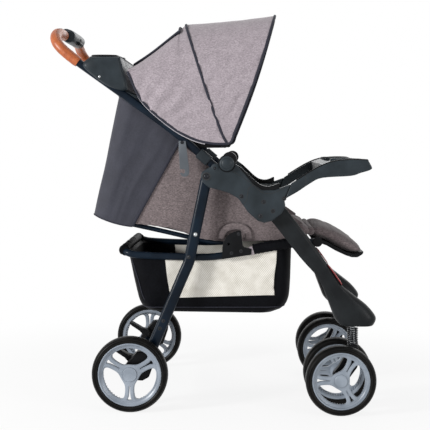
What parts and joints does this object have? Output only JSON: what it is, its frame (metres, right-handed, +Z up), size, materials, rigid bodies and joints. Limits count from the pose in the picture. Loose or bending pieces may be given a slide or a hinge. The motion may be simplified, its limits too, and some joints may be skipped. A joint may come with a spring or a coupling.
{
  "type": "pram",
  "caption": "Folding pram with a reclining padded seat, arched canopy, parent console, snack tray, storage basket and sprung twin casters.",
  "frame": {"origin": "on the floor, at the middle of the pram's length and width", "axes": "+X forwards, +Y to the pram's left, +Z up"},
  "size_m": [0.8246, 0.564, 1.0001],
  "materials": {
    "navy_paint": "dark navy paint, satin",
    "slate_plastic": "moulded, satin",
    "black_plastic": "moulded, satin",
    "rim_plastic": "moulded, semi-gloss",
    "tyre_foam": "foam rubber, matt",
    "tan_leather": "smooth, with a soft sheen",
    "taupe_cloth": "melange weave, matt",
    "navy_cloth": "woven, matt",
    "black_cloth": "woven, matt",
    "bright_steel": "plated, satin",
    "black_steel": "black spring wire, satin",
    "red_lens": "clear moulded red, glossy",
    "grey_plastic": "moulded, matt"
  },
  "bodies": {
    "frame": {"armrest_right": "slate_plastic", "armrest_left": "slate_plastic", "front_leg_right": "slate_plastic", "front_leg_left": "slate_plastic", "reflector_right": "red_lens", "reflector_left": "red_lens", "side_panel_right": "taupe_cloth", "side_panel_left": "taupe_cloth", "seat_bracket_right": "black_plastic", "seat_bracket_left": "black_plastic", "seat_rail": "navy_paint", "seat_pad": "taupe_cloth", "harness_webbing": "black_cloth", "harness_buckle": "black_plastic", "hood": "navy_cloth", "basket": "black_cloth"},
    "handle": {"push_bar": "navy_paint", "grip_right": "tan_leather", "grip_left": "tan_leather", "release_housing": "slate_plastic", "parent_console": "slate_plastic", "canopy_clip_right": "black_plastic", "canopy_clip_left": "black_plastic", "canopy": "taupe_cloth"},
    "canopy_mid": {"canopy_mid_bow": "black_plastic"},
    "canopy_front": {"canopy_front_bow": "black_plastic"},
    "trigger": {"release_trigger": "black_plastic"},
    "lock": {"lock_button": "black_plastic"},
    "hook": {"storage_hook": "grey_plastic"},
    "rear_legs": {"rear_leg_right": "navy_paint", "rear_leg_left": "navy_paint", "rear_axle": "navy_paint"},
    "backrest": {"backrest_frame": "navy_paint", "backrest_pad": "taupe_cloth"},
    "calf_rest": {"calf_board": "black_plastic", "calf_pad": "taupe_cloth"},
    "tray": {"child_tray": "slate_plastic"},
    "buckle_release": {"buckle_button": "red_lens"},
    "latch_right": {"latch_sleeve_right": "slate_plastic"},
    "latch_left": {"latch_sleeve_left": "slate_plastic"},
    "rear_wheel_right": {"rear_wheel_right_rim": "rim_plastic", "rear_wheel_right_tyre": "tyre_foam"},
    "pedal_right": {"brake_pedal_right": "black_plastic"},
    "rear_wheel_left": {"rear_wheel_left_rim": "rim_plastic", "rear_wheel_left_tyre": "tyre_foam"},
    "pedal_left": {"brake_pedal_left": "black_plastic"},
    "caster_right": {"caster_stem_right": "bright_steel", "caster_spring_right": "black_steel"},
    "fork_right": {"caster_housing_right": "black_plastic"},
    "front_outer_right": {"front_outer_right_rim": "rim_plastic", "front_outer_right_tyre": "tyre_foam"},
    "front_inner_right": {"front_inner_right_rim": "rim_plastic", "front_inner_right_tyre": "tyre_foam"},
    "caster_left": {"caster_stem_left": "bright_steel", "caster_spring_left": "black_steel"},
    "fork_left": {"caster_housing_left": "black_plastic"},
    "front_outer_left": {"front_outer_left_rim": "rim_plastic", "front_outer_left_tyre": "tyre_foam"},
    "front_inner_left": {"front_inner_left_rim": "rim_plastic", "front_inner_left_tyre": "tyre_foam"}
  },
  "joints": [
    {"name": "handle_fold", "type": "hinge", "parent": "frame", "child": "handle", "pos_m": [0.0057, 0, 0.6114], "axis": [0, 1, 0], "range_deg": [0, 105], "deforming": ["canopy"]},
    {"name": "rear_leg_fold", "type": "hinge", "parent": "frame", "child": "rear_legs", "pos_m": [-0.0157, 0, 0.5895], "axis": [0, -1, 0], "range_deg": [0, 30]},
    {"name": "canopy_mid_fold", "type": "hinge", "parent": "handle", "child": "canopy_mid", "pos_m": [0.028, 0, 0.668], "axis": [0, -1, 0], "range_deg": [0, 24]},
    {"name": "canopy_front_fold", "type": "hinge", "parent": "canopy_mid", "child": "canopy_front", "pos_m": [0.028, 0, 0.668], "axis": [0, -1, 0], "range_deg": [0, 34]},
    {"name": "release_slide", "type": "slide", "parent": "handle", "child": "trigger", "axis": [-0.8944, 0, 0.4472], "range_m": [0, 0.008], "stiffness_N_per_m": 400, "springref_m": -0.004},
    {"name": "latch_slide_right", "type": "slide", "parent": "handle", "child": "latch_right", "axis": [-0.766, 0, 0.6428], "range_m": [0, 0.012]},
    {"name": "latch_slide_left", "type": "slide", "parent": "handle", "child": "latch_left", "axis": [-0.766, 0, 0.6428], "range_m": [0, 0.012]},
    {"name": "lock_slide", "type": "slide", "parent": "handle", "child": "lock", "axis": [0, 1, 0], "range_m": [0, 0.006], "stiffness_N_per_m": 200, "springref_m": -0.002},
    {"name": "hook_swing", "type": "hinge", "parent": "handle", "child": "hook", "pos_m": [-0.0775, -0.2377, 0.6735], "axis": [0, 1, 0], "range_deg": [0, 50]},
    {"name": "rear_wheel_spin_right", "type": "hinge", "parent": "rear_legs", "child": "rear_wheel_right", "pos_m": [-0.201, -0.265, 0.095], "axis": [0, 1, 0], "continuous": true},
    {"name": "brake_right", "type": "hinge", "parent": "rear_legs", "child": "pedal_right", "pos_m": [-0.2015, -0.2, 0.1195], "axis": [0, -1, 0], "range_deg": [0, 25]},
    {"name": "rear_wheel_spin_left", "type": "hinge", "parent": "rear_legs", "child": "rear_wheel_left", "pos_m": [-0.201, 0.265, 0.095], "axis": [0, 1, 0], "continuous": true},
    {"name": "brake_left", "type": "hinge", "parent": "rear_legs", "child": "pedal_left", "pos_m": [-0.2015, 0.2, 0.1195], "axis": [0, -1, 0], "range_deg": [0, 25]},
    {"name": "caster_swivel_right", "type": "hinge", "parent": "frame", "child": "caster_right", "pos_m": [0.3555, -0.209, 0.2], "axis": [0, 0, 1], "continuous": true},
    {"name": "suspension_right", "type": "slide", "parent": "caster_right", "child": "fork_right", "axis": [0, 0, 1], "range_m": [0, 0.015], "stiffness_N_per_m": 6000, "springref_m": -0.01, "deforming": ["caster_spring_right"]},
    {"name": "front_outer_spin_right", "type": "hinge", "parent": "fork_right", "child": "front_outer_right", "pos_m": [0.323, -0.265, 0.0875], "axis": [0, 1, 0], "continuous": true},
    {"name": "front_inner_spin_right", "type": "hinge", "parent": "fork_right", "child": "front_inner_right", "pos_m": [0.323, -0.153, 0.0875], "axis": [0, 1, 0], "continuous": true},
    {"name": "caster_swivel_left", "type": "hinge", "parent": "frame", "child": "caster_left", "pos_m": [0.3555, 0.209, 0.2], "axis": [0, 0, 1], "continuous": true},
    {"name": "suspension_left", "type": "slide", "parent": "caster_left", "child": "fork_left", "axis": [0, 0, 1], "range_m": [0, 0.015], "stiffness_N_per_m": 6000, "springref_m": -0.01, "deforming": ["caster_spring_left"]},
    {"name": "front_outer_spin_left", "type": "hinge", "parent": "fork_left", "child": "front_outer_left", "pos_m": [0.323, 0.265, 0.0875], "axis": [0, 1, 0], "continuous": true},
    {"name": "front_inner_spin_left", "type": "hinge", "parent": "fork_left", "child": "front_inner_left", "pos_m": [0.323, 0.153, 0.0875], "axis": [0, 1, 0], "continuous": true},
    {"name": "backrest_recline", "type": "hinge", "parent": "frame", "child": "backrest", "pos_m": [0.04, 0, 0.418], "axis": [0, 1, 0], "range_deg": [0, 55]},
    {"name": "calf_hinge", "type": "hinge", "parent": "frame", "child": "calf_rest", "pos_m": [0.2635, 0, 0.426], "axis": [0, 1, 0], "range_deg": [0, 60]},
    {"name": "tray_slide", "type": "slide", "parent": "frame", "child": "tray", "axis": [0.8251, 0, 0.565], "range_m": [0, 0.06]},
    {"name": "buckle_press", "type": "slide", "parent": "frame", "child": "buckle_release", "axis": [0, 0, -1], "range_m": [0, 0.002], "stiffness_N_per_m": 600, "springref_m": -0.002}
  ],
  "couplings": [
    {"joint": "rear_leg_fold", "follows": "handle_fold", "ratio": 0.2857},
    {"joint": "canopy_mid_fold", "follows": "handle_fold", "ratio": 0.2285},
    {"joint": "canopy_front_fold", "follows": "handle_fold", "ratio": 0.3238},
    {"joint": "latch_slide_right", "follows": "release_slide", "ratio": 1.5},
    {"joint": "latch_slide_left", "follows": "release_slide", "ratio": 1.5},
    {"joint": "brake_left", "follows": "brake_right", "ratio": 1}
  ]
}
